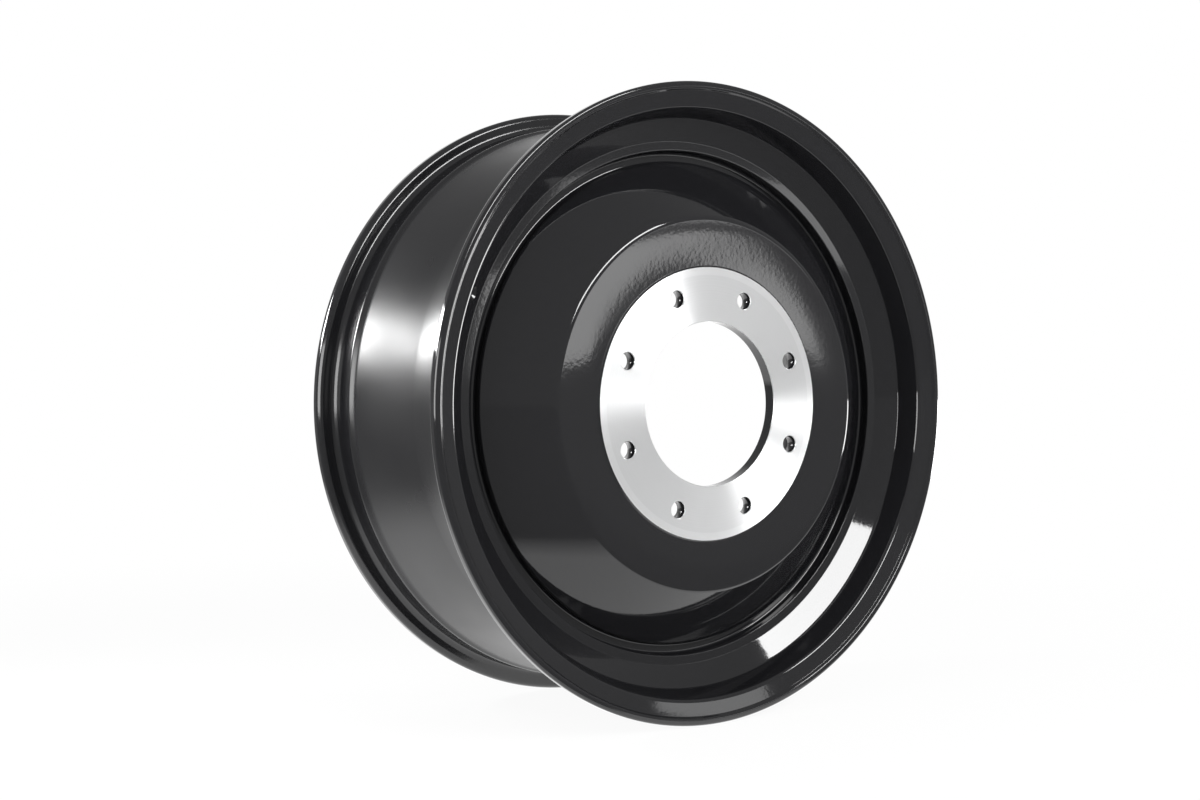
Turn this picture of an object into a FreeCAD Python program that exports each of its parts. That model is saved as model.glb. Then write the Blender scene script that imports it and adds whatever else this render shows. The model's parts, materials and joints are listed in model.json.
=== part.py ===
"""Inner wheel of a dual truck axle, turned in one piece from aluminium.

The wheel spins about Y with its mounting pad facing -Y and +Z up. The origin lies on the
axis, midway between the two lips. One section, drawn in the YZ plane, is revolved about Y;
the lug holes, the valve hole and the rounded edges are cut into it afterwards.
"""
import FreeCAD
import Part
import os
import Sketcher

NODE = "wheel"
STEP_FOLDER = "parts"
MATCH = 1e-4
ORIGIN_POINT = (-1, 1)
THROUGH_ALL = "ThroughAll"

# Driving dimensions: millimetres, degrees and one count
SIZES = {
    # Rim: bead seats, flanges and the lips outside them
    "rim_width": 209.55,
    "lip_width": 12.7,
    "bead_diameter": 563.6,
    "flange_height": 17.5,
    "seat_width": 21.0,
    "seat_taper": 5.0,
    "hump_width": 11.0,
    "hump_rise": 0.7,
    "shoulder_drop": 3.8,
    "well_depth": 23.8,
    "well_slope": 15.0,
    "well_width": 36.0,
    # Front lip, the stepped wall inside it and the groove round the bell
    "lip_bead_width": 6.2,
    "lip_face_start": 8.4,
    "lip_face_depth": 2.9,
    "step_start_depth": 7.1,
    "step_start_drop": 5.9,
    "step_foot_depth": 30.5,
    "step_foot_drop": 12.3,
    "band_foot_depth": 43.7,
    "band_foot_drop": 32.7,
    "ledge_depth": 44.3,
    "dish_drop": 41.8,
    "groove_depth": 55.5,
    # Disc: mounting pad, bell and hub bore
    "bore_diameter": 154.3,
    "bore_edge": 1.0,
    "pad_diameter": 255.4,
    "pad_depth": 6.9,
    "pad_height": 1.5,
    "pad_thickness": 12.7,
    "crease_diameter": 349.0,
    "crease_rise": 2.9,
    "bell_edge_depth": 47.1,
    "bell_edge_drop": 52.5,
    "bell_wall": 14.0,
    # Back hollow
    "hollow_drop": 32.8,
    "mouth_drop": 10.8,
    "back_lip_drop": 1.8,
    # Lug holes and valve hole
    "lug_count": 8,
    "lug_circle": 210.0,
    "lug_hole": 15.8,
    "lug_angle": 21.7,
    "lug_edge": 0.7,
    "valve_hole": 11.5,
    "valve_spot": 14.5,
    "valve_spot_depth": 1.2,
    "valve_angle": 68.3,
    # Rounded edges
    "lip_rounding": 3.0,
    "flange_rounding": 6.0,
    "heel_fillet": 6.5,
    "step_rounding": 5.0,
    "fine_rounding": 1.2,
    "band_fillet": 4.0,
    "crease_rounding": 8.0,
    "groove_fillet": 3.0,
    "hub_fillet": 10.0,
    "hollow_fillet": 15.0,
    "hump_rounding": 5.0,
    "well_fillet": 12.0,
    "barrel_blend": 120.0,
}

# Places along the axis and radii that several corners share
FLANGE = "sizes.rim_width / 2"
LIP = f"({FLANGE} + sizes.lip_width)"
BEAD = "sizes.bead_diameter / 2"
CREST = f"({BEAD} + sizes.flange_height)"
TOE_RADIUS = f"({BEAD} - sizes.seat_width * tan(sizes.seat_taper))"
TOE = f"({FLANGE} - sizes.seat_width)"
HUMP = f"({TOE} - sizes.hump_width / 2)"
SHOULDER = f"({TOE} - sizes.hump_width)"
WELL_FRONT = f"(-{SHOULDER} + sizes.well_slope)"
WELL_RADIUS = f"({BEAD} - sizes.well_depth)"
BORE = "sizes.bore_diameter / 2"
PAD = "sizes.pad_diameter / 2"
PAD_FACE = f"(-{LIP} + sizes.pad_depth)"
RING_FACE = f"({PAD_FACE} + sizes.pad_height)"
HUB_FACE = f"({PAD_FACE} + sizes.pad_thickness)"
CREASE = "sizes.crease_diameter / 2"
CREASE_PLANE = f"({RING_FACE} - sizes.crease_rise)"
DISH = f"({BEAD} - sizes.dish_drop)"
GROOVE = f"(-{LIP} + sizes.groove_depth)"
BELL_EDGE = f"({BEAD} - sizes.bell_edge_drop)"
BELL_EDGE_PLANE = f"(-{LIP} + sizes.bell_edge_depth)"
BELL_SLOPE = f"(({BELL_EDGE_PLANE} - {CREASE_PLANE}) / ({BELL_EDGE} - {CREASE}))"
BELL_BACK = f"({CREASE_PLANE} + sizes.bell_wall * sqrt(1 + {BELL_SLOPE} ^ 2))"
HOLLOW = f"({BEAD} - sizes.hollow_drop)"

# Corners of the section in order round it: place along the axis, radius
CORNERS = {
    "bore_front": (PAD_FACE, BORE),
    "pad_edge": (PAD_FACE, PAD),
    "pad_foot": (RING_FACE, f"{PAD} + sizes.pad_height"),
    "crease": (CREASE_PLANE, CREASE),
    "bell_edge": (BELL_EDGE_PLANE, BELL_EDGE),
    "groove_inside": (GROOVE, BELL_EDGE),
    "groove_outside": (GROOVE, DISH),
    "dish_edge": (f"-{LIP} + sizes.ledge_depth", DISH),
    "band_foot": (f"-{LIP} + sizes.band_foot_depth", f"{BEAD} - sizes.band_foot_drop"),
    "step_foot": (f"-{LIP} + sizes.step_foot_depth", f"{BEAD} - sizes.step_foot_drop"),
    "step_start": (f"-{LIP} + sizes.step_start_depth", f"{BEAD} - sizes.step_start_drop"),
    "lip_face_start": (f"-{LIP} + sizes.lip_face_depth", f"{CREST} - sizes.lip_face_start"),
    "lip_bead": (f"-{LIP}", f"{CREST} - sizes.lip_bead_width"),
    "lip_front": (f"-{LIP}", CREST),
    "flange_front": (f"-{FLANGE}", CREST),
    "heel_front": (f"-{FLANGE}", BEAD),
    "toe_front": (f"-{TOE}", TOE_RADIUS),
    "hump_front": (f"-{HUMP}", f"{BEAD} + sizes.hump_rise"),
    "shoulder_front": (f"-{SHOULDER}", f"{BEAD} - sizes.shoulder_drop"),
    "well_front": (WELL_FRONT, WELL_RADIUS),
    "well_back": (f"{WELL_FRONT} + sizes.well_width", WELL_RADIUS),
    "shoulder_back": (SHOULDER, f"{BEAD} - sizes.shoulder_drop"),
    "hump_back": (HUMP, f"{BEAD} + sizes.hump_rise"),
    "toe_back": (TOE, TOE_RADIUS),
    "heel_back": (FLANGE, BEAD),
    "flange_back": (FLANGE, CREST),
    "lip_back": (LIP, CREST),
    "lip_back_inside": (LIP, f"{BEAD} - sizes.back_lip_drop"),
    "mouth": (TOE, f"{BEAD} - sizes.mouth_drop"),
    "hollow": (f"{BELL_BACK} + ({HOLLOW} - {CREASE}) * {BELL_SLOPE}", HOLLOW),
    "hub_corner": (HUB_FACE, f"{CREASE} + ({HUB_FACE} - {BELL_BACK}) / {BELL_SLOPE}"),
    "bore_back": (HUB_FACE, BORE),
}

# Rounded edges: the size that gives the radius, and the corners that get it
ROUNDINGS = {
    "flange_rounding": ["flange_front", "flange_back"],
    "heel_fillet": ["heel_front", "heel_back"],
    "lip_rounding": ["lip_front", "lip_back", "bell_edge"],
    "step_rounding": ["step_start", "lip_back_inside"],
    "fine_rounding": ["lip_bead", "lip_face_start", "band_foot", "dish_edge"],
    "band_fillet": ["step_foot"],
    "crease_rounding": ["crease"],
    "groove_fillet": ["groove_inside", "groove_outside"],
    "hub_fillet": ["hub_corner"],
    "hollow_fillet": ["hollow"],
    "hump_rounding": ["hump_front", "hump_back"],
    "well_fillet": ["shoulder_front", "well_front", "shoulder_back"],
    "barrel_blend": ["well_back"],
}


def make_sheet(doc):
    """Spreadsheet with one named cell for each driving dimension."""
    sheet = doc.addObject("Spreadsheet::Sheet", "sizes")
    for row, (name, value) in enumerate(SIZES.items(), 1):
        sheet.set(f"A{row}", name)
        sheet.set(f"B{row}", str(value))
        sheet.setAlias(f"B{row}", name)
    doc.recompute()
    return sheet


def origin_feature(body, role):
    """Origin plane or axis of the body."""
    return next(item for item in body.Origin.OriginFeatures if item.Role == role)


def new_sketch(body, name, role):
    """Empty sketch on one of the body's origin planes."""
    sketch = body.newObject("Sketcher::SketchObject", name)
    sketch.AttachmentSupport = [(origin_feature(body, role), "")]
    sketch.MapMode = "FlatFace"
    return sketch


def bind(sketch, kind, first, second, name, expression):
    """Signed distance between two points of a sketch, tied to the sheet."""
    value = float(sketch.evalExpression(expression))
    if value < 0:
        first, second, expression = second, first, f"-({expression})"
    index = sketch.addConstraint(Sketcher.Constraint(kind, *first, *second, abs(value)))
    sketch.renameConstraint(index, name)
    sketch.setExpression(f"Constraints.{name}", expression)


def draw_outline(sketch, corners):
    """Closed outline through named corners, each placed from the sketch's origin."""
    places = [[float(sketch.evalExpression(part)) for part in corner] for corner in corners.values()]
    points = [FreeCAD.Vector(along, across, 0) for along, across in places]
    for start, end in zip(points, points[1:] + points[:1]):
        sketch.addGeometry(Part.LineSegment(start, end))
    for line in range(len(points)):
        sketch.addConstraint(Sketcher.Constraint("Coincident", line, 2, (line + 1) % len(points), 1))
    for line, (name, (along, across)) in enumerate(corners.items()):
        bind(sketch, "DistanceX", ORIGIN_POINT, (line, 1), f"{name}_along", along)
        bind(sketch, "DistanceY", ORIGIN_POINT, (line, 1), f"{name}_across", across)


def ring_edge(shape, along, radius):
    """Name of the circular edge about the wheel's axis at this place and radius."""
    for number, edge in enumerate(shape.Edges, 1):
        curve = edge.Curve
        if isinstance(curve, Part.Circle) and abs(curve.Radius - radius) < MATCH:
            centre = curve.Center
            if abs(centre.y - along) < MATCH and abs(centre.x) + abs(centre.z) < MATCH:
                return f"Edge{number}"
    raise RuntimeError(f"no edge of radius {radius:.2f} at {along:.2f}")


def corner_edges(section, feature, names):
    """Edges that the named corners of the section sweep out."""
    order = list(CORNERS)
    found = []
    for name in names:
        point = section.Geometry[order.index(name)].StartPoint
        found.append(ring_edge(feature.Shape, point.x, point.y))
    return found


def make_blank(doc, body):
    """Wheel before drilling: the section turned about the axis, with its edges rounded."""
    section = new_sketch(body, "section", "YZ_Plane")
    draw_outline(section, CORNERS)
    doc.recompute()
    blank = body.newObject("PartDesign::Revolution", "blank")
    blank.Profile = section
    blank.ReferenceAxis = (section, ["H_Axis"])
    blank.Angle = 360
    doc.recompute()
    feature = blank
    for size, names in ROUNDINGS.items():
        edges = corner_edges(section, feature, names)
        rounding = body.newObject("PartDesign::Fillet", size)
        rounding.Base = (feature, edges)
        rounding.setExpression("Radius", f"sizes.{size}")
        doc.recompute()
        feature = rounding
    edges = corner_edges(section, feature, ["bore_front", "bore_back"])
    bevel = body.newObject("PartDesign::Chamfer", "bore_bevel")
    bevel.Base = (feature, edges)
    bevel.setExpression("Size", "sizes.bore_edge")
    doc.recompute()
    return bevel


def drill_lug_holes(doc, body):
    """Ring of plain stud holes through the pad, with their edges broken on both faces."""
    sketch = new_sketch(body, "lug_circle_sketch", "XZ_Plane")
    sketch.addGeometry(Part.Circle(FreeCAD.Vector(0, 1, 0), FreeCAD.Vector(0, 0, 1), 1))
    centre = (0, 3)
    bind(sketch, "DistanceX", ORIGIN_POINT, centre, "across", "sizes.lug_circle / 2 * sin(sizes.lug_angle)")
    bind(sketch, "DistanceY", ORIGIN_POINT, centre, "up", "sizes.lug_circle / 2 * cos(sizes.lug_angle)")
    index = sketch.addConstraint(Sketcher.Constraint("Diameter", 0, SIZES["lug_hole"]))
    sketch.renameConstraint(index, "bore")
    sketch.setExpression("Constraints.bore", "sizes.lug_hole")
    doc.recompute()
    hole = body.newObject("PartDesign::Pocket", "lug_hole_cut")
    hole.Profile = sketch
    hole.Type = THROUGH_ALL
    hole.Reversed = True
    doc.recompute()
    ring = body.newObject("PartDesign::PolarPattern", "lug_ring")
    ring.Originals = [hole]
    ring.Axis = (origin_feature(body, "Y_Axis"), [""])
    ring.Angle = 360
    ring.setExpression("Occurrences", "sizes.lug_count")
    body.Tip = ring
    doc.recompute()
    edges = []
    for number, edge in enumerate(ring.Shape.Edges, 1):
        if isinstance(edge.Curve, Part.Circle):
            offset = FreeCAD.Vector(edge.Curve.Center.x, 0, edge.Curve.Center.z).Length
            if abs(offset - ring.evalExpression("sizes.lug_circle / 2")) < MATCH:
                edges.append(f"Edge{number}")
    bevel = body.newObject("PartDesign::Chamfer", "lug_bevel")
    bevel.Base = (ring, edges)
    bevel.setExpression("Size", "sizes.lug_edge")
    doc.recompute()
    return bevel


def drill_valve_hole(doc, body):
    """Valve hole square to the conical band, with a shallow spot face on its front."""
    sketch = new_sketch(body, "valve_section", "YZ_Plane")
    sketch.AttachmentOffset = FreeCAD.Placement(FreeCAD.Vector(), FreeCAD.Rotation(FreeCAD.Vector(1, 0, 0), 0))
    sketch.setExpression("AttachmentOffset.Rotation.Angle", "-sizes.valve_angle")
    run = "(sizes.band_foot_depth - sizes.step_foot_depth)"
    fall = "(sizes.band_foot_drop - sizes.step_foot_drop)"
    lean = f"atan({run} / {fall})"
    middle = f"(-{LIP} + (sizes.band_foot_depth + sizes.step_foot_depth) / 2)"
    height = f"({BEAD} - (sizes.band_foot_drop + sizes.step_foot_drop) / 2)"
    reach = f"({CREST} - {height})"
    stations = {
        "mouth_centre": (f"-{reach}", "0"),
        "mouth_rim": (f"-{reach}", "sizes.valve_spot / 2"),
        "spot_rim": ("sizes.valve_spot_depth", "sizes.valve_spot / 2"),
        "spot_foot": ("sizes.valve_spot_depth", "sizes.valve_hole / 2"),
        "end_rim": (reach, "sizes.valve_hole / 2"),
        "end_centre": (reach, "0"),
    }
    outline = {}
    for name, (depth, offset) in stations.items():
        along = f"{middle} + ({depth}) * cos({lean}) - ({offset}) * sin({lean})"
        across = f"{height} + ({depth}) * sin({lean}) + ({offset}) * cos({lean})"
        outline[name] = (along, across)
    draw_outline(sketch, outline)
    closing_line = len(outline) - 1
    doc.recompute()
    hole = body.newObject("PartDesign::Groove", "valve_hole_cut")
    hole.Profile = sketch
    hole.ReferenceAxis = (sketch, [f"Edge{closing_line + 1}"])
    hole.Angle = 360
    body.Tip = hole
    doc.recompute()
    return hole


def check(doc, body):
    """Stop if any feature failed or the wheel is not one sound solid."""
    for item in doc.Objects:
        if "Invalid" in item.State or "Error" in item.State:
            raise RuntimeError(f"{item.Name} failed: {item.State}")
    if body.Shape.isNull() or not body.Shape.isValid() or len(body.Shape.Solids) != 1:
        raise RuntimeError("the wheel is not one valid solid")


def main():
    doc = FreeCAD.newDocument("truck_wheel")
    make_sheet(doc)
    body = doc.addObject("PartDesign::Body", NODE)
    body.Label = NODE
    body.Placement = FreeCAD.Placement()
    make_blank(doc, body)
    drill_lug_holes(doc, body)
    drill_valve_hole(doc, body)
    doc.recompute()
    check(doc, body)
    os.makedirs(STEP_FOLDER, exist_ok=True)
    body.Shape.exportStep(f"{STEP_FOLDER}/{body.Label}.step")
    print(f"{body.Label}: {body.Shape.Volume / 1e6:.3f} litres, {len(body.Shape.Faces)} faces")


main()
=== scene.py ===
"""Inner truck wheel of a dual pair: gloss black rim and bell, satin barrel, bare turned pad.

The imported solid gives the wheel's place and size. The same section is turned again here with
fine roundings, drilled for the studs and the valve, given its finishes and set on a pale floor.
"""
import collections
import json
import math

import bmesh
import bpy
from mathutils import Matrix, Quaternion, Vector


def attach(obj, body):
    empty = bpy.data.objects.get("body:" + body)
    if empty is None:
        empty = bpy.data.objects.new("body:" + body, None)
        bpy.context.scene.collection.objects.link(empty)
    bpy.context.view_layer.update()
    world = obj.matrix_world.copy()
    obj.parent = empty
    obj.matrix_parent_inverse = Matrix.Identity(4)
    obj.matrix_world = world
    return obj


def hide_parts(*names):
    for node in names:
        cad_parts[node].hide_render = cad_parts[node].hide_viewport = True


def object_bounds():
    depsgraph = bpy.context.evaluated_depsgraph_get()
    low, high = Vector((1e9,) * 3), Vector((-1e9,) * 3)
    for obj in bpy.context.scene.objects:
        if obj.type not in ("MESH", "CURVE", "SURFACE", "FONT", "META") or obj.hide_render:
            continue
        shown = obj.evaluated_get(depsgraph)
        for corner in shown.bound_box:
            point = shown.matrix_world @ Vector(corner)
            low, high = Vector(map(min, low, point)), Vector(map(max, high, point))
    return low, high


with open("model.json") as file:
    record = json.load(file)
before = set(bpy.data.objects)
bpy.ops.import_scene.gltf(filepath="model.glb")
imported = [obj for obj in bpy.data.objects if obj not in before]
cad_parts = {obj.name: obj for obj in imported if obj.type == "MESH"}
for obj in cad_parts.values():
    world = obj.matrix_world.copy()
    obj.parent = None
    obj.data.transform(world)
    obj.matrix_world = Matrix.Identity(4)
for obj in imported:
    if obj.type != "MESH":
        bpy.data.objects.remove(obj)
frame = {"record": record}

bl_info = {
    "name": "Truck wheel",
    "version": (1, 0, 0),
    "blender": (4, 5, 0),
    "location": "View3D > Sidebar > Wheel",
    "description": "Turns, drills and finishes an inner truck wheel, and sets the studio round it",
    "category": "Object",
}

MM = 0.001
NODE = "wheel"
BODY = "root"
CAD_LOW, CAD_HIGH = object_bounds()
MOUNTS = {mount["name"]: mount for mount in frame["record"]["mounts"]}
TURNED_MAP = "turned"
WHITE = (1.0, 1.0, 1.0, 1.0)
CENTRE = (0.0, 0.0, 0.0)
BARE_LIMIT = 0.9  # bare share above which a face is bare metal
CLOUD_RANGE = (0.3, 0.7)  # range of the noise that is spread over the whole range of roughness
MAP_PER_RADIAN = 0.1  # step of the turned map's V for one radian round the wheel
Corner = collections.namedtuple("Corner", "along radius rounding satin bare")
Lamp = collections.namedtuple("Lamp", "name place target width height watts along")
# Lamps and small cards, in metres and watts; along is the direction of a lamp's width
LAMPS = (
    Lamp("key_lamp", (0.3, -1.78, 1.05), CENTRE, 1.25, 0.42, 36.0, (0.84, 0.42, 0.38)),
    Lamp("ring_card", (1.27, -1.83, 0.09), CENTRE, 0.2, 0.14, 0.38, (0.81, 0.59, 0.0)),
    Lamp("lip_card", (1.36, -1.76, 0.24), CENTRE, 0.3, 0.12, 0.3, (0.81, 0.59, 0.0)),
    Lamp("right_lamp", (2.1, -0.05, -0.14), CENTRE, 2.1, 0.28, 24.0, (0.0, 1.0, 0.0)),
    Lamp("left_lamp", (-1.95, -0.45, 0.2), CENTRE, 1.6, 0.7, 28.0, (-0.2, 1.0, 0.0)),
    Lamp("barrel_lamp", (-0.6, 0.45, 0.215), (-0.26, 0.0, 0.06), 0.26, 0.12, 3.8, (0.9, 0.4, 0.0)),
)


def length(label, words, millimetres):
    """Length property given in millimetres and kept in metres."""
    return bpy.props.FloatProperty(name=label, description=words, default=millimetres * MM,
                                   unit="LENGTH", subtype="DISTANCE", precision=5)


def angle(label, words, degrees):
    """Angle property given in degrees."""
    return bpy.props.FloatProperty(name=label, description=words, default=math.radians(degrees),
                                   unit="ROTATION", subtype="ANGLE", precision=3)


def number(label, words, default):
    """Plain number property."""
    return bpy.props.FloatProperty(name=label, description=words, default=default, precision=4)


def colour(label, words, default):
    """Colour property."""
    return bpy.props.FloatVectorProperty(name=label, description=words, default=default, size=3,
                                         subtype="COLOR", min=0.0, max=1.0)


def place(label, words, default):
    """Place property in the wheel's frame."""
    return bpy.props.FloatVectorProperty(name=label, description=words, default=default, size=3,
                                         unit="LENGTH", subtype="TRANSLATION")


class WheelSizes(bpy.types.PropertyGroup):
    """Sizes of the turned section and of its holes."""

    crest_radius: length("Crest radius", "Outer radius of both lips",
                         min(CAD_HIGH.x, CAD_HIGH.z) / MM)
    half_width: length("Half width", "From the middle to the front of a lip", CAD_HIGH.y / MM)
    lip_width: length("Lip width", "Thickness of a lip along the axis", 12.7)
    flange_height: length("Flange height", "From the bead seat to the crest", 17.5)
    seat_width: length("Seat width", "Width of a bead seat", 21.0)
    seat_taper: angle("Seat taper", "Slope of a bead seat", 5.0)
    hump_width: length("Hump width", "Width of the safety hump", 11.0)
    hump_rise: length("Hump rise", "Height of the hump over the bead seat's heel", 0.7)
    shoulder_drop: length("Shoulder drop", "Depth of the barrel behind the hump", 3.8)
    well_depth: length("Well depth", "Depth of the drop centre below the heel", 23.8)
    well_slope: length("Well slope", "Axial run of the drop centre's front slope", 15.0)
    well_width: length("Well width", "Flat width of the drop centre", 36.0)
    lip_bead_width: length("Lip bead width", "Radial width of the raised bead on the front lip", 6.2)
    lip_face_start: length("Lip face start", "From the crest to the sunk lip face", 8.4)
    lip_face_depth: length("Lip face depth", "How far the lip face is sunk at its outer edge", 2.9)
    step_start_depth: length("Step start depth", "Depth of the lip face's inner edge", 7.1)
    step_start_drop: length("Step start drop", "Drop of the lip face's inner edge below the heel", 5.9)
    step_foot_depth: length("Step foot depth", "Depth of the step wall's foot", 30.5)
    step_foot_drop: length("Step foot drop", "Drop of the step wall's foot below the heel", 12.3)
    band_foot_depth: length("Band foot depth", "Depth of the conical band's inner edge", 43.7)
    band_foot_drop: length("Band foot drop", "Drop of the band's inner edge below the heel", 32.7)
    ledge_depth: length("Ledge depth", "Depth of the narrow ledge inside the band", 44.3)
    dish_drop: length("Dish drop", "Drop of the ledge's inner edge below the heel", 41.8)
    groove_depth: length("Groove depth", "Depth of the groove round the bell", 55.5)
    pad_radius: length("Pad radius", "Outer radius of the bare pad", 127.7)
    pad_height: length("Pad height", "Height of the pad over the ring round it", 1.5)
    crease_radius: length("Crease radius", "Radius where the ring turns into the bell", 174.5)
    crease_rise: length("Crease rise", "How far the crease stands forward of the ring's foot", 2.9)
    bell_edge_depth: length("Bell edge depth", "Depth of the bell's outer edge", 47.1)
    bell_edge_drop: length("Bell edge drop", "Drop of the bell's outer edge below the heel", 52.5)
    bell_wall: length("Bell wall", "Thickness of the bell", 14.0)
    hollow_drop: length("Hollow drop", "Drop of the back hollow's corner below the heel", 32.8)
    mouth_drop: length("Mouth drop", "Drop of the hollow's wall at the back seat", 10.8)
    back_lip_drop: length("Back lip drop", "Drop of the back lip's inner edge below the heel", 1.8)
    lug_edge: length("Lug edge", "Broken edge of a stud hole", 0.7)
    valve_spot_radius: length("Valve spot radius", "Radius of the valve hole's spot face", 7.25)
    bore_edge: length("Bore edge", "Rounding of the bore's edges", 0.9)
    pad_edge: length("Pad edge", "Rounding of the pad's outer edge", 0.3)
    pad_foot: length("Pad foot", "Fillet between the pad and the ring round it", 0.4)
    crease_rounding: length("Crease rounding", "Rounding where the ring turns into the bell", 8.0)
    groove_fillet: length("Groove fillet", "Rounding of the bell's edge and of the groove", 3.0)
    fine_rounding: length("Fine rounding", "Rounding of the ledge and of the lip face's outer edge", 1.2)
    band_fillet: length("Band fillet", "Fillet between the step wall and the band", 4.0)
    step_rounding: length("Step rounding", "Rounding at the top of the step wall", 5.0)
    lip_rounding: length("Lip rounding", "Rounding of the lips' outer faces", 3.0)
    flange_rounding: length("Flange rounding", "Rounding of a crest on the tyre side", 6.0)
    heel_fillet: length("Heel fillet", "Fillet between a flange and its bead seat", 6.5)
    toe_fillet: length("Toe fillet", "Fillet between a bead seat and its hump", 3.0)
    hump_rounding: length("Hump rounding", "Rounding of a hump", 5.0)
    well_fillet: length("Well fillet", "Rounding of the slopes beside the drop centre", 12.0)
    barrel_blend: length("Barrel blend", "Wide blend from the drop centre into the barrel", 120.0)
    back_lip_rounding: length("Back lip rounding", "Rounding of the back lip's inner edge", 5.0)
    mouth_rounding: length("Mouth rounding", "Rounding at the mouth of the hollow", 20.0)
    hollow_fillet: length("Hollow fillet", "Fillet at the hollow's corner", 15.0)
    hub_fillet: length("Hub fillet", "Fillet between the pad's back and the bell", 10.0)
    lug_turn: angle("Lug turn", "First stud hole's angle from the horizontal", 23.3)
    segments: bpy.props.IntProperty(name="Segments", description="Facets round the wheel",
                                    default=256, min=16)
    drill_segments: bpy.props.IntProperty(name="Drill segments", description="Facets round a hole",
                                          default=48, min=8)
    arc_step: angle("Arc step", "Largest turn between two points of a rounding", 8.0)
    hold: length("Hold", "Distance of the holding loop beside a rounding", 0.3)


class WheelFinishes(bpy.types.PropertyGroup):
    """Colours and roughness of the wheel's finishes."""

    black: colour("Black coat", "Colour of the black coat", (0.008, 0.008, 0.009))
    gloss_roughness: number("Gloss roughness", "Roughness of the front's black coat", 0.045)
    satin_roughness: number("Satin roughness", "Roughness of the barrel's black coat", 0.30)
    cloud_scale: number("Cloud scale", "Clouds of changing roughness in a metre of coat", 9.0)
    cloud_low: number("Cloud low", "Lowest share of the coat's roughness", 0.8)
    cloud_high: number("Cloud high", "Highest share of the coat's roughness", 1.25)
    peel_size: length("Peel size", "Grain of the coat's orange peel", 3.5)
    peel_strength: number("Peel strength", "Strength of the orange peel", 0.009)
    grain_size: length("Grain size", "Grain of the satin coat", 0.9)
    grain_strength: number("Grain strength", "Strength of the satin coat's grain", 0.04)
    aluminium: colour("Aluminium", "Colour of the bare pad", (0.93, 0.935, 0.94))
    pad_roughness: number("Pad roughness", "Roughness of the bare pad", 0.42)
    pad_metallic: number("Pad metallic", "How metallic the bare pad is", 0.8)
    pad_anisotropy: number("Pad anisotropy", "How far the turning marks stretch a reflection", 1.0)
    mark_pitch: length("Mark pitch", "Distance between turning marks", 0.8)
    mark_tone: number("Mark tone", "Tone of the darkest turning marks", 0.9)
    mark_spread: number("Mark spread", "Change of roughness over the turning marks", 0.15)
    mark_strength: number("Mark strength", "Strength of the turning marks' relief", 0.05)
    # Painted highlight: the pad's outer ring is painted lighter, standing in for the light its rounded edge
    # reflects
    highlight_ring_radius: length("Rim radius", "Where the pad's lighter outer ring starts", 121.0)
    tone_inside_highlight_ring: number("Rim tone", "Tone of the pad inside its lighter outer ring", 0.93)


class WheelStudio(bpy.types.PropertyGroup):
    """Camera, floor, and the room that shows in reflections."""

    camera_place: place("Camera place", "Where the camera stands", (-0.93898, -1.26182, 0.0142))
    camera_heading: angle("Camera heading", "Turn of the view from +Y towards +X", 35.167)
    camera_tilt: angle("Camera tilt", "Slope of the view above the horizon", -0.429)
    camera_roll: angle("Camera roll", "Turn of the picture about the view", 0.302)
    camera_lens: number("Lens", "Focal length in millimetres on a 36 mm sensor", 47.53)
    floor_half: length("Floor half", "Half the floor's side", 9000.0)
    floor_colour: colour("Floor colour", "Pale floor", (0.9, 0.9, 0.9))
    floor_glow: number("Floor glow", "Share of the floor that shows as plain white near the wheel", 0.93)
    shadow_core: length("Shadow core", "Distance from the wheel at which the floor starts to whiten", 450.0)
    shadow_reach: length("Shadow reach", "Distance from the wheel at which it is plain white", 1500.0)
    sheet_front: length("Sheet front", "Where the lit part of the floor ends in front of the wheel", -220.0)
    sheet_side: length("Sheet side", "Where the lit part of the floor ends left of the wheel", -500.0)
    sheet_front_blur: length("Sheet front blur", "Softness of the lit floor's front edge", 20.0)
    sheet_side_blur: length("Sheet side blur", "Softness of the lit floor's left edge", 100.0)
    sheet_level: number("Sheet level", "Brightness of the lit floor in reflections", 1.8)
    room_level: number("Room level", "Brightness of the room behind the wheel in reflections", 0.4)
    front_level: number("Front level", "Brightness of the room before the wheel in reflections", 0.48)
    front_end: number("Front end", "Y of the direction where the room before the wheel ends", -0.5)
    room_start: number("Room start", "Y of the direction where the room behind it starts", 0.2)
    backdrop_level: number("Backdrop level", "Brightness that the backdrop adds in reflections", 1.0)
    backdrop_edge: number("Backdrop edge", "Cosine of the angle at which the backdrop ends", 0.65)
    backdrop_core: number("Backdrop core", "Cosine of the angle within which it is fully lit", 0.85)
    world_level: number("World level", "Strength of the studio's soft light", 0.45)


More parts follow.
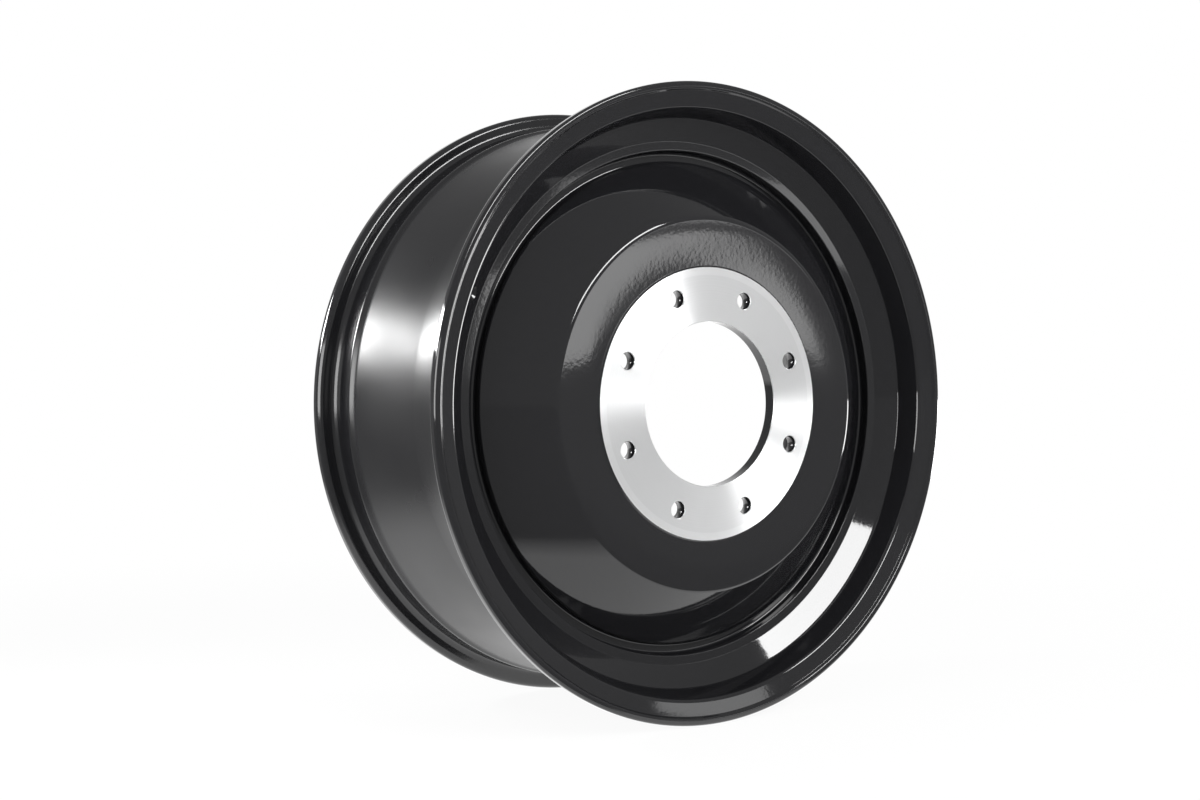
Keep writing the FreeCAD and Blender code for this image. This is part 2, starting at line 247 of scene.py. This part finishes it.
def section_corners(sizes):
    """Corners of the turned section in order round it, each with the finish of the stretch after it."""
    front = -sizes.half_width
    flange = sizes.half_width - sizes.lip_width
    crest = sizes.crest_radius
    bead = crest - sizes.flange_height
    toe = flange - sizes.seat_width
    toe_radius = bead - sizes.seat_width * math.tan(sizes.seat_taper)
    hump = toe - sizes.hump_width / 2
    shoulder = toe - sizes.hump_width
    well = -shoulder + sizes.well_slope
    pad_plane = MOUNTS["pad_face"]["pos_m"][1]
    hub_plane = MOUNTS["hub_face"]["pos_m"][1]
    bore = MOUNTS["hub_bore"]["dims"]["r_mm"] * MM
    ring_plane = pad_plane + sizes.pad_height
    crease_plane = ring_plane - sizes.crease_rise
    dish = bead - sizes.dish_drop
    groove = front + sizes.groove_depth
    bell_edge = bead - sizes.bell_edge_drop
    bell_edge_plane = front + sizes.bell_edge_depth
    slope = (bell_edge_plane - crease_plane) / (bell_edge - sizes.crease_radius)
    bell_back = crease_plane + sizes.bell_wall * math.hypot(1.0, slope)
    hollow = bead - sizes.hollow_drop
    hollow_plane = bell_back + (hollow - sizes.crease_radius) * slope
    hub_corner = sizes.crease_radius + (hub_plane - bell_back) / slope
    rows = (
        # along, radius, rounding, satin and bare share of the stretch that follows
        (pad_plane, bore, sizes.bore_edge, 0.0, 1.0),
        (pad_plane, sizes.pad_radius, sizes.pad_edge, 0.0, 0.0),
        (ring_plane, sizes.pad_radius + sizes.pad_height, sizes.pad_foot, 0.0, 0.0),
        (crease_plane, sizes.crease_radius, sizes.crease_rounding, 0.0, 0.0),
        (bell_edge_plane, bell_edge, sizes.groove_fillet, 0.0, 0.0),
        (groove, bell_edge, sizes.groove_fillet, 0.0, 0.0),
        (groove, dish, sizes.groove_fillet, 0.0, 0.0),
        (front + sizes.ledge_depth, dish, sizes.fine_rounding, 0.0, 0.0),
        (front + sizes.band_foot_depth, bead - sizes.band_foot_drop, sizes.fine_rounding, 0.0, 0.0),
        (front + sizes.step_foot_depth, bead - sizes.step_foot_drop, sizes.band_fillet, 0.0, 0.0),
        (front + sizes.step_start_depth, bead - sizes.step_start_drop, sizes.step_rounding, 0.0, 0.0),
        (front + sizes.lip_face_depth, crest - sizes.lip_face_start, sizes.fine_rounding, 0.0, 0.0),
        (front, crest - sizes.lip_bead_width, sizes.lip_rounding, 0.0, 0.0),
        (front, crest, sizes.lip_rounding, 0.15, 0.0),
        (-flange, crest, sizes.flange_rounding, 0.35, 0.0),
        (-flange, bead, sizes.heel_fillet, 0.45, 0.0),
        (-toe, toe_radius, sizes.toe_fillet, 0.5, 0.0),
        (-hump, bead + sizes.hump_rise, sizes.hump_rounding, 0.6, 0.0),
        (-shoulder, bead - sizes.shoulder_drop, sizes.well_fillet, 1.0, 0.0),
        (well, bead - sizes.well_depth, sizes.well_fillet, 1.0, 0.0),
        (well + sizes.well_width, bead - sizes.well_depth, sizes.barrel_blend, 1.0, 0.0),
        (shoulder, bead - sizes.shoulder_drop, sizes.well_fillet, 0.6, 0.0),
        (hump, bead + sizes.hump_rise, sizes.hump_rounding, 0.5, 0.0),
        (toe, toe_radius, sizes.toe_fillet, 0.45, 0.0),
        (flange, bead, sizes.heel_fillet, 0.35, 0.0),
        (flange, crest, sizes.flange_rounding, 0.15, 0.0),
        (-front, crest, sizes.lip_rounding, 0.1, 0.0),
        (-front, bead - sizes.back_lip_drop, sizes.back_lip_rounding, 0.3, 0.0),
        (toe, bead - sizes.mouth_drop, sizes.mouth_rounding, 0.4, 0.0),
        (hollow_plane, hollow, sizes.hollow_fillet, 0.4, 0.0),
        (hub_plane, hub_corner, sizes.hub_fillet, 0.4, 0.0),
        (hub_plane, bore, sizes.bore_edge, 0.0, 0.0),
    )
    return [Corner(*row) for row in rows]


def rounded_outline(corners, arc_step, hold):
    """Points of the closed section as (along, radius, satin, bare): each corner becomes an arc,
    with one holding point on the straight at each of its ends."""
    outline = []
    for index, corner in enumerate(corners):
        before = corners[index - 1]
        after = corners[(index + 1) % len(corners)]
        here = Vector((corner.along, corner.radius))
        back = Vector((before.along, before.radius)) - here
        ahead = Vector((after.along, after.radius)) - here
        half = back.angle(ahead) / 2
        reach = corner.rounding / math.tan(half)
        if reach + hold > min(back.length, ahead.length):
            raise ValueError(f"rounding {index} is too large for its corner")
        back.normalize()
        ahead.normalize()
        centre = here + (back + ahead).normalized() * corner.rounding / math.sin(half)
        start = here + back * reach - centre
        sweep = math.copysign(math.pi - 2 * half, back.x * ahead.y - back.y * ahead.x) * -1
        steps = max(1, math.ceil(abs(sweep) / arc_step))
        entry = here + back * (reach + hold)
        outline.append((*entry, before.satin, before.bare))
        for step in range(steps + 1):
            share = step / steps
            spot = centre + Matrix.Rotation(sweep * share, 2) @ start
            satin = before.satin + (corner.satin - before.satin) * share
            outline.append((*spot, satin, max(before.bare, corner.bare)))
        leave = here + ahead * (reach + hold)
        outline.append((*leave, corner.satin, corner.bare))
    return outline


def link(name, data):
    """New object in the scene for a mesh, a lamp or a camera."""
    made = bpy.data.objects.new(name, data)
    bpy.context.scene.collection.objects.link(made)
    return made


def section_object(outline, path_radius):
    """Closed wire of the section, measured from the path it is turned along."""
    mesh = bpy.data.meshes.new("section")
    points = [(radius - path_radius, along, 0.0) for along, radius, satin, bare in outline]
    edges = [(index, (index + 1) % len(points)) for index in range(len(points))]
    mesh.from_pydata(points, edges, [])
    for name, column in (("satin", 2), ("bare", 3)):
        layer = mesh.attributes.new(name, "FLOAT", "POINT")
        layer.data.foreach_set("value", [point[column] for point in outline])
    return link("section", mesh)


def drill_object(name, stations, segments, matrix):
    """Closed round drill about its own Z, from stations of depth, radius and bare share of the band after."""
    mesh = bpy.data.meshes.new(name)
    drill = bmesh.new()
    bare = drill.faces.layers.float.new("bare_face")
    turns = [2 * math.pi * step / segments for step in range(segments)]
    rings = []
    for depth, radius, share in stations:
        rings.append([drill.verts.new((radius * math.cos(t), radius * math.sin(t), depth)) for t in turns])
    for (low, high), (depth, radius, share) in zip(zip(rings, rings[1:]), stations):
        for step in range(segments):
            after = (step + 1) % segments
            face = drill.faces.new((low[step], low[after], high[after], high[step]))
            face[bare] = share
    drill.faces.new(reversed(rings[0]))
    drill.faces.new(rings[-1])
    bmesh.ops.recalc_face_normals(drill, faces=drill.faces)
    drill.transform(matrix)
    drill.to_mesh(mesh)
    drill.free()
    return link(name, mesh)


def lug_drill(sizes):
    """Stud drill along Y, flared at both faces of the pad."""
    radius = MOUNTS["lug_holes"]["dims"]["hole_r_mm"] * MM
    front = MOUNTS["pad_face"]["pos_m"][1]
    back = MOUNTS["hub_face"]["pos_m"][1]
    edge = sizes.lug_edge
    clear = 2 * edge
    stations = (
        (front - clear, radius + edge + clear, 1.0),
        (front + edge, radius, 0.0),
        (back - edge, radius, 0.0),
        (back + clear, radius + edge + clear, 0.0),
    )
    turn = Matrix.Rotation(-math.pi / 2, 4, "X")
    return drill_object("lug_drill", stations, sizes.drill_segments, turn)


def valve_drill(sizes):
    """Stepped valve drill: a spot face on the band, then the plain hole to the tyre side."""
    mount = MOUNTS["valve_hole"]
    radius = mount["dims"]["r_mm"] * MM
    wall = mount["dims"]["length_mm"] * MM
    axis = Vector(mount["axis"]).normalized()
    floor = Vector(mount["pos_m"]) - axis * wall / 2
    stations = (
        (-wall, sizes.valve_spot_radius, 0.0),
        (0.0, sizes.valve_spot_radius, 0.0),
        (0.0, radius, 0.0),
        (2 * wall, radius, 0.0),
    )
    turn = Matrix.Translation(floor) @ axis.to_track_quat("Z", "Y").to_matrix().to_4x4()
    return drill_object("valve_drill", stations, sizes.drill_segments, turn)


def new_tree(name, sockets):
    """Geometry node tree with a geometry in and out and further inputs, and those inputs' identifiers."""
    tree = bpy.data.node_groups.new(name, "GeometryNodeTree")
    tree.interface.new_socket("Geometry", in_out="INPUT", socket_type="NodeSocketGeometry")
    tree.interface.new_socket("Geometry", in_out="OUTPUT", socket_type="NodeSocketGeometry")
    names = {}
    for label, kind in sockets:
        names[label] = tree.interface.new_socket(label, in_out="INPUT", socket_type=kind).identifier
    return tree, names


def add(tree, kind, settings=None, **inputs):
    """New node with its settings, and each named input linked to a socket or set to a value.
    An input is named by its label, or by its place as i0, i1 and so on."""
    made = tree.nodes.new(kind)
    for key, value in (settings or {}).items():
        setattr(made, key, value)
    for label, value in inputs.items():
        key = int(label[1:]) if label[1:].isdigit() else label.replace("_", " ")
        socket = made.inputs[key]
        if isinstance(value, bpy.types.NodeSocket):
            tree.links.new(value, socket)
        else:
            socket.default_value = value
    return made


def computed(tree, operation, first, second):
    """Result of a calculation with two numbers."""
    return add(tree, "ShaderNodeMath", {"operation": operation}, i0=first, i1=second).outputs["Value"]


def mapped(tree, value, low, high, start=0.0, end=1.0):
    """Result of a value taken from one range to another."""
    return add(tree, "ShaderNodeMapRange", Value=value, From_Min=low, From_Max=high,
               To_Min=start, To_Max=end).outputs["Result"]


def noise(tree, spot, scale, detail):
    """Result of a noise in space."""
    return add(tree, "ShaderNodeTexNoise", Vector=spot, Scale=scale, Detail=detail).outputs["Fac"]


def distance(tree, spot, kept):
    """Length of a place's vector with only the kept axes."""
    flat = add(tree, "ShaderNodeVectorMath", {"operation": "MULTIPLY"}, i0=spot, i1=kept)
    size = add(tree, "ShaderNodeVectorMath", {"operation": "LENGTH"}, i0=flat.outputs["Vector"])
    return size.outputs["Value"]


def wheel_tree():
    """Tree that turns the section round the wheel's axis, drills it and sets its finishes."""
    tree, names = new_tree("turned_wheel", (
        ("Path radius", "NodeSocketFloat"),
        ("Segments", "NodeSocketInt"),
        ("Lug drill", "NodeSocketObject"),
        ("Lug count", "NodeSocketInt"),
        ("Lug circle radius", "NodeSocketFloat"),
        ("Lug turn", "NodeSocketFloat"),
        ("Valve drill", "NodeSocketObject"),
        ("Coat", "NodeSocketMaterial"),
        ("Bare metal", "NodeSocketMaterial"),
    ))
    given = tree.nodes.new("NodeGroupInput").outputs
    quarter = (math.pi / 2, 0.0, 0.0)
    section = add(tree, "GeometryNodeMeshToCurve", Mesh=given["Geometry"])
    path = add(tree, "GeometryNodeCurvePrimitiveCircle", Resolution=given["Segments"],
               Radius=given["Path radius"])
    turned = add(tree, "GeometryNodeCurveToMesh", Curve=path.outputs["Curve"],
                 Profile_Curve=section.outputs["Curve"])
    upright = add(tree, "GeometryNodeTransform", Geometry=turned.outputs["Mesh"], Rotation=quarter)
    bare = add(tree, "GeometryNodeInputNamedAttribute", {"data_type": "FLOAT"}, Name="bare")
    marked = add(tree, "GeometryNodeStoreNamedAttribute", {"data_type": "FLOAT", "domain": "FACE"},
                 Geometry=upright.outputs["Geometry"], Name="bare_face", Value=bare.outputs["Attribute"])
    ring = add(tree, "GeometryNodeMeshCircle", Vertices=given["Lug count"], Radius=given["Lug circle radius"])
    spin = add(tree, "ShaderNodeCombineXYZ", Z=given["Lug turn"])
    turned_ring = add(tree, "GeometryNodeTransform", Geometry=ring.outputs["Mesh"],
                      Rotation=spin.outputs["Vector"])
    upright_ring = add(tree, "GeometryNodeTransform", Geometry=turned_ring.outputs["Geometry"],
                       Rotation=quarter)
    lug = add(tree, "GeometryNodeObjectInfo", Object=given["Lug drill"], As_Instance=True)
    lugs = add(tree, "GeometryNodeInstanceOnPoints", Points=upright_ring.outputs["Geometry"],
               Instance=lug.outputs["Geometry"])
    valve = add(tree, "GeometryNodeObjectInfo", Object=given["Valve drill"])
    drills = add(tree, "GeometryNodeJoinGeometry")
    for source in (lugs.outputs["Instances"], valve.outputs["Geometry"]):
        tree.links.new(source, drills.inputs["Geometry"])
    real_drills = add(tree, "GeometryNodeRealizeInstances", Geometry=drills.outputs["Geometry"])
    drilled = add(tree, "GeometryNodeMeshBoolean", {"operation": "DIFFERENCE", "solver": "EXACT"})
    tree.links.new(marked.outputs["Geometry"], drilled.inputs["Mesh 1"])
    tree.links.new(real_drills.outputs["Geometry"], drilled.inputs["Mesh 2"])
    smooth = add(tree, "GeometryNodeSetShadeSmooth", {"domain": "FACE"}, Geometry=drilled.outputs["Mesh"],
                 Shade_Smooth=True)
    edged = add(tree, "GeometryNodeSetShadeSmooth", {"domain": "EDGE"}, Geometry=smooth.outputs["Geometry"],
                Selection=drilled.outputs["Intersecting Edges"], Shade_Smooth=False)
    real = add(tree, "GeometryNodeRealizeInstances", Geometry=edged.outputs["Geometry"])
    coated = add(tree, "GeometryNodeSetMaterial", Geometry=real.outputs["Geometry"], Material=given["Coat"])
    face = add(tree, "GeometryNodeInputNamedAttribute", {"data_type": "FLOAT"}, Name="bare_face")
    is_bare = add(tree, "FunctionNodeCompare", {"data_type": "FLOAT", "operation": "GREATER_THAN"},
                  A=face.outputs["Attribute"], B=BARE_LIMIT)
    finished = add(tree, "GeometryNodeSetMaterial", Geometry=coated.outputs["Geometry"],
                   Selection=is_bare.outputs["Result"], Material=given["Bare metal"])
    shown = tree.nodes.new("NodeGroupOutput")
    tree.links.new(finished.outputs["Geometry"], shown.inputs["Geometry"])
    return tree, names


def new_material(name):
    """Empty node material with its output, and the Principled shader that feeds it."""
    material = bpy.data.materials.new(name)
    material.use_nodes = True
    tree = material.node_tree
    tree.nodes.clear()
    output = tree.nodes.new("ShaderNodeOutputMaterial")
    shader = tree.nodes.new("ShaderNodeBsdfPrincipled")
    tree.links.new(shader.outputs["BSDF"], output.inputs["Surface"])
    return material, tree, shader


def black_coat(finishes):
    """Black coat that runs from gloss with orange peel to a grainy satin, by the satin attribute."""
    material, tree, shader = new_material("black_coat")
    spot = tree.nodes.new("ShaderNodeTexCoord").outputs["Object"]
    satin = add(tree, "ShaderNodeAttribute", {"attribute_name": "satin"}).outputs["Fac"]
    gloss = computed(tree, "SUBTRACT", 1.0, satin)
    cloud = noise(tree, spot, finishes.cloud_scale, 3.0)
    spread = mapped(tree, cloud, *CLOUD_RANGE, finishes.cloud_low, finishes.cloud_high)
    level = mapped(tree, satin, 0.0, 1.0, finishes.gloss_roughness, finishes.satin_roughness)
    tree.links.new(computed(tree, "MULTIPLY", level, spread), shader.inputs["Roughness"])
    peeled = add(tree, "ShaderNodeBump", Distance=MM, Height=noise(tree, spot, 1 / finishes.peel_size, 1.0),
                 Strength=computed(tree, "MULTIPLY", gloss, finishes.peel_strength))
    grained = add(tree, "ShaderNodeBump", Distance=MM, Height=noise(tree, spot, 1 / finishes.grain_size, 2.0),
                  Strength=computed(tree, "MULTIPLY", satin, finishes.grain_strength),
                  Normal=peeled.outputs["Normal"])
    tree.links.new(grained.outputs["Normal"], shader.inputs["Normal"])
    shader.inputs["Base Color"].default_value = (*finishes.black, 1.0)
    return material


def bare_aluminium(finishes):
    """Turned aluminium: fine circular marks that spread the light along the radius, and a painted highlight
    on the pad's outer ring.
    """
    material, tree, shader = new_material("bare_aluminium")
    spot = tree.nodes.new("ShaderNodeTexCoord").outputs["Object"]
    radius = distance(tree, spot, (1.0, 0.0, 1.0))
    marks = add(tree, "ShaderNodeTexNoise", {"noise_dimensions": "1D"}, W=radius,
                Scale=1 / finishes.mark_pitch, Detail=3.0).outputs["Fac"]
    tone = add(tree, "ShaderNodeValToRGB", Fac=marks)
    bright = Vector(finishes.aluminium)
    tone.color_ramp.elements[0].color = (*(bright * finishes.mark_tone), 1.0)
    tone.color_ramp.elements[1].color = (*bright, 1.0)
    # Painted highlight: the base colour is lighter on the pad's outer ring, in place of the light its rounded
    # edge reflects
    painted_highlight_ring = mapped(tree, radius, finishes.highlight_ring_radius - finishes.mark_pitch, finishes.highlight_ring_radius,
                 finishes.tone_inside_highlight_ring, 1.0)
    tone_with_painted_highlight = add(tree, "ShaderNodeVectorMath", {"operation": "SCALE"}, i0=tone.outputs["Color"], Scale=painted_highlight_ring)
    tree.links.new(tone_with_painted_highlight.outputs["Vector"], shader.inputs["Base Color"])
    rough = mapped(tree, marks, 0.0, 1.0, finishes.pad_roughness * (1.0 - finishes.mark_spread),
                   finishes.pad_roughness * (1.0 + finishes.mark_spread))
    tree.links.new(rough, shader.inputs["Roughness"])
    relief = add(tree, "ShaderNodeBump", Strength=finishes.mark_strength, Distance=MM, Height=marks)
    tree.links.new(relief.outputs["Normal"], shader.inputs["Normal"])
    radial = add(tree, "ShaderNodeTangent", {"direction_type": "UV_MAP", "uv_map": TURNED_MAP})
    tree.links.new(radial.outputs["Tangent"], shader.inputs["Tangent"])
    shader.inputs["Metallic"].default_value = finishes.pad_metallic
    shader.inputs["Anisotropic"].default_value = finishes.pad_anisotropy
    return material


def lay_turned_map(mesh):
    """UV map with U along the radius or the axis and V round the wheel, whole at the seam."""
    layer = mesh.uv_layers.new(name=TURNED_MAP)
    turns = [math.atan2(vertex.co.x, vertex.co.z) for vertex in mesh.vertices]
    runs = [math.hypot(vertex.co.x, vertex.co.z) + vertex.co.y for vertex in mesh.vertices]
    for face in mesh.polygons:
        middle = math.atan2(face.center.x, face.center.z)
        for loop in face.loop_indices:
            vertex = mesh.loops[loop].vertex_index
            turn = middle + math.remainder(turns[vertex] - middle, 2 * math.pi)
            layer.data[loop].uv = (runs[vertex], turn * MAP_PER_RADIAN)


def plain_mesh(made):
    """Turn an object's modifiers into its plain mesh, with the faces pointing outwards."""
    graph = bpy.context.evaluated_depsgraph_get()
    mesh = bpy.data.meshes.new_from_object(made.evaluated_get(graph), preserve_all_data_layers=True,
                                           depsgraph=graph)
    made.modifiers.clear()
    made.data = mesh
    shell = bmesh.new()
    shell.from_mesh(mesh)
    bmesh.ops.recalc_face_normals(shell, faces=shell.faces)
    shell.to_mesh(mesh)
    shell.free()
    return mesh


class WHEEL_OT_turn(bpy.types.Operator):
    """Turn, drill and finish the wheel in place of its plain solid."""

    bl_idname = "wheel.turn"
    bl_label = "Turn wheel"

    def execute(self, context):
        sizes = context.scene.wheel_sizes
        finishes = context.scene.wheel_finishes
        outline = rounded_outline(section_corners(sizes), sizes.arc_step, sizes.hold)
        made = section_object(outline, sizes.crest_radius)
        lug = lug_drill(sizes)
        valve = valve_drill(sizes)
        tree, names = wheel_tree()
        turning = made.modifiers.new("turning", "NODES")
        turning.node_group = tree
        pattern = MOUNTS["lug_holes"]["dims"]
        inputs = {
            "Path radius": sizes.crest_radius,
            "Segments": sizes.segments,
            "Lug drill": lug,
            "Lug count": pattern["count"],
            "Lug circle radius": pattern["pcd_mm"] * MM / 2,
            "Lug turn": sizes.lug_turn,
            "Valve drill": valve,
            "Coat": black_coat(finishes),
            "Bare metal": bare_aluminium(finishes),
        }
        for label, value in inputs.items():
            turning[names[label]] = value
        mesh = plain_mesh(made)
        if not mesh.polygons:
            raise RuntimeError("the wheel came out empty")
        lay_turned_map(mesh)
        made.name = "turned_wheel"
        mesh.name = "turned_wheel"
        for drill in (lug, valve):
            bpy.data.objects.remove(drill)
        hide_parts(NODE)
        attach(made, BODY)
        return {"FINISHED"}


def floor_material(studio):
    """Pale floor: nearly plain white to the camera, and a lit sheet in a grey room in reflections."""
    material = bpy.data.materials.new("pale_floor")
    material.use_nodes = True
    tree = material.node_tree
    tree.nodes.clear()
    output = tree.nodes.new("ShaderNodeOutputMaterial")
    rays = tree.nodes.new("ShaderNodeLightPath").outputs
    spot = tree.nodes.new("ShaderNodeTexCoord").outputs["Object"]
    away = distance(tree, spot, (1.0, 1.0, 0.0))
    fade = mapped(tree, away, studio.shadow_core, studio.shadow_reach, studio.floor_glow, 1.0)
    seen = computed(tree, "MULTIPLY", rays["Is Camera Ray"], fade)
    share = computed(tree, "MAXIMUM", seen, rays["Is Glossy Ray"])
    parts = add(tree, "ShaderNodeSeparateXYZ", Vector=spot).outputs
    ahead = mapped(tree, parts["Y"], studio.sheet_front - studio.sheet_front_blur,
                   studio.sheet_front + studio.sheet_front_blur)
    aside = mapped(tree, parts["X"], studio.sheet_side - studio.sheet_side_blur,
                   studio.sheet_side + studio.sheet_side_blur)
    lit = computed(tree, "MULTIPLY", ahead, aside)
    sheet = mapped(tree, lit, 0.0, 1.0, studio.room_level, studio.sheet_level)
    level = add(tree, "ShaderNodeMix", {"data_type": "FLOAT"}, i0=rays["Is Glossy Ray"], i2=1.0, i3=sheet)
    matt = add(tree, "ShaderNodeBsdfDiffuse", Color=(*studio.floor_colour, 1.0))
    glow = add(tree, "ShaderNodeEmission", Color=WHITE, Strength=level.outputs[0])
    mixed = add(tree, "ShaderNodeMixShader", i0=share, i1=matt.outputs["BSDF"], i2=glow.outputs["Emission"])
    tree.links.new(mixed.outputs["Shader"], output.inputs["Surface"])
    return material


def lay_floor(studio):
    """Wide floor under the wheel's lowest point."""
    mesh = bpy.data.meshes.new("floor")
    half = studio.floor_half
    level = CAD_LOW.z
    corners = [(-half, -half, level), (half, -half, level), (half, half, level), (-half, half, level)]
    mesh.from_pydata(corners, [], [(0, 1, 2, 3)])
    mesh.materials.append(floor_material(studio))
    link("floor", mesh)


def light_world(studio):
    """Soft studio light: white to the camera, and a grey room with a lit backdrop in the reflections."""
    world = bpy.data.worlds.new("studio")
    bpy.context.scene.world = world
    world.use_nodes = True
    tree = world.node_tree
    tree.nodes.clear()
    output = tree.nodes.new("ShaderNodeOutputWorld")
    rays = tree.nodes.new("ShaderNodeLightPath").outputs
    way = tree.nodes.new("ShaderNodeTexCoord").outputs["Generated"]
    parts = add(tree, "ShaderNodeSeparateXYZ", Vector=way).outputs
    room = mapped(tree, parts["Y"], studio.front_end, studio.room_start,
                  studio.front_level, studio.room_level)
    view = (math.sin(studio.camera_heading), math.cos(studio.camera_heading), 0.0)
    facing = add(tree, "ShaderNodeVectorMath", {"operation": "DOT_PRODUCT"}, i0=way, i1=view)
    backdrop = mapped(tree, facing.outputs["Value"], studio.backdrop_edge, studio.backdrop_core,
                      0.0, studio.backdrop_level)
    whole = computed(tree, "ADD", room, backdrop)
    seen = add(tree, "ShaderNodeMix", {"data_type": "FLOAT"}, i0=rays["Is Camera Ray"], i2=whole, i3=1.0)
    soft = add(tree, "ShaderNodeMix", {"data_type": "FLOAT"}, i0=rays["Is Diffuse Ray"],
               i2=seen.outputs[0], i3=studio.world_level)
    back = add(tree, "ShaderNodeBackground", Color=WHITE, Strength=soft.outputs[0])
    tree.links.new(back.outputs["Background"], output.inputs["Surface"])


def soft_lamp(row):
    """Rectangular soft lamp aimed at its target, with its width along a direction, unseen by the camera."""
    data = bpy.data.lights.new(row.name, "AREA")
    data.shape = "RECTANGLE"
    data.size = row.width
    data.size_y = row.height
    data.energy = row.watts
    lamp = link(row.name, data)
    lamp.location = row.place
    back = (Vector(row.place) - Vector(row.target)).normalized()
    along = Vector(row.along)
    across = (along - back * back.dot(along)).normalized()
    lamp.rotation_mode = "QUATERNION"
    lamp.rotation_quaternion = Matrix((across, back.cross(across), back)).transposed().to_quaternion()
    lamp.visible_camera = False


def set_camera(studio):
    """Camera at the photograph's place, with the same view."""
    data = bpy.data.cameras.new("camera")
    data.lens = studio.camera_lens
    camera = link("camera", data)
    heading, tilt = studio.camera_heading, studio.camera_tilt
    forward = Vector((math.sin(heading) * math.cos(tilt), math.cos(heading) * math.cos(tilt), math.sin(tilt)))
    camera.location = studio.camera_place
    camera.rotation_mode = "QUATERNION"
    roll = Quaternion((0.0, 0.0, 1.0), studio.camera_roll)
    camera.rotation_quaternion = forward.to_track_quat("-Z", "Y") @ roll
    bpy.context.scene.camera = camera


class WHEEL_OT_studio(bpy.types.Operator):
    """Set the floor, the lamps and the camera round the wheel."""

    bl_idname = "wheel.studio"
    bl_label = "Set studio"

    def execute(self, context):
        studio = context.scene.wheel_studio
        lay_floor(studio)
        light_world(studio)
        for row in LAMPS:
            soft_lamp(row)
        set_camera(studio)
        context.scene.view_settings.view_transform = "Standard"
        return {"FINISHED"}


class WHEEL_PT_panel(bpy.types.Panel):
    """Sidebar panel with the wheel's steps and settings."""

    bl_label = "Truck wheel"
    bl_idname = "WHEEL_PT_panel"
    bl_space_type = "VIEW_3D"
    bl_region_type = "UI"
    bl_category = "Wheel"

    def draw(self, context):
        layout = self.layout
        for group in (context.scene.wheel_sizes, context.scene.wheel_finishes, context.scene.wheel_studio):
            column = layout.column(align=True)
            for name in group.__annotations__:
                column.prop(group, name)
        layout.operator(WHEEL_OT_turn.bl_idname)
        layout.operator(WHEEL_OT_studio.bl_idname)


CLASSES = (WheelSizes, WheelFinishes, WheelStudio, WHEEL_OT_turn, WHEEL_OT_studio, WHEEL_PT_panel)


def register():
    """Register the classes and hang the settings on the scene."""
    for cls in CLASSES:
        bpy.utils.register_class(cls)
    bpy.types.Scene.wheel_sizes = bpy.props.PointerProperty(type=WheelSizes)
    bpy.types.Scene.wheel_finishes = bpy.props.PointerProperty(type=WheelFinishes)
    bpy.types.Scene.wheel_studio = bpy.props.PointerProperty(type=WheelStudio)


def unregister():
    """Take back what register() did."""
    del bpy.types.Scene.wheel_studio
    del bpy.types.Scene.wheel_finishes
    del bpy.types.Scene.wheel_sizes
    for cls in reversed(CLASSES):
        bpy.utils.unregister_class(cls)


def main():
    register()
    bpy.ops.wheel.turn()
    bpy.ops.wheel.studio()


if __name__ == "__main__":
    main()
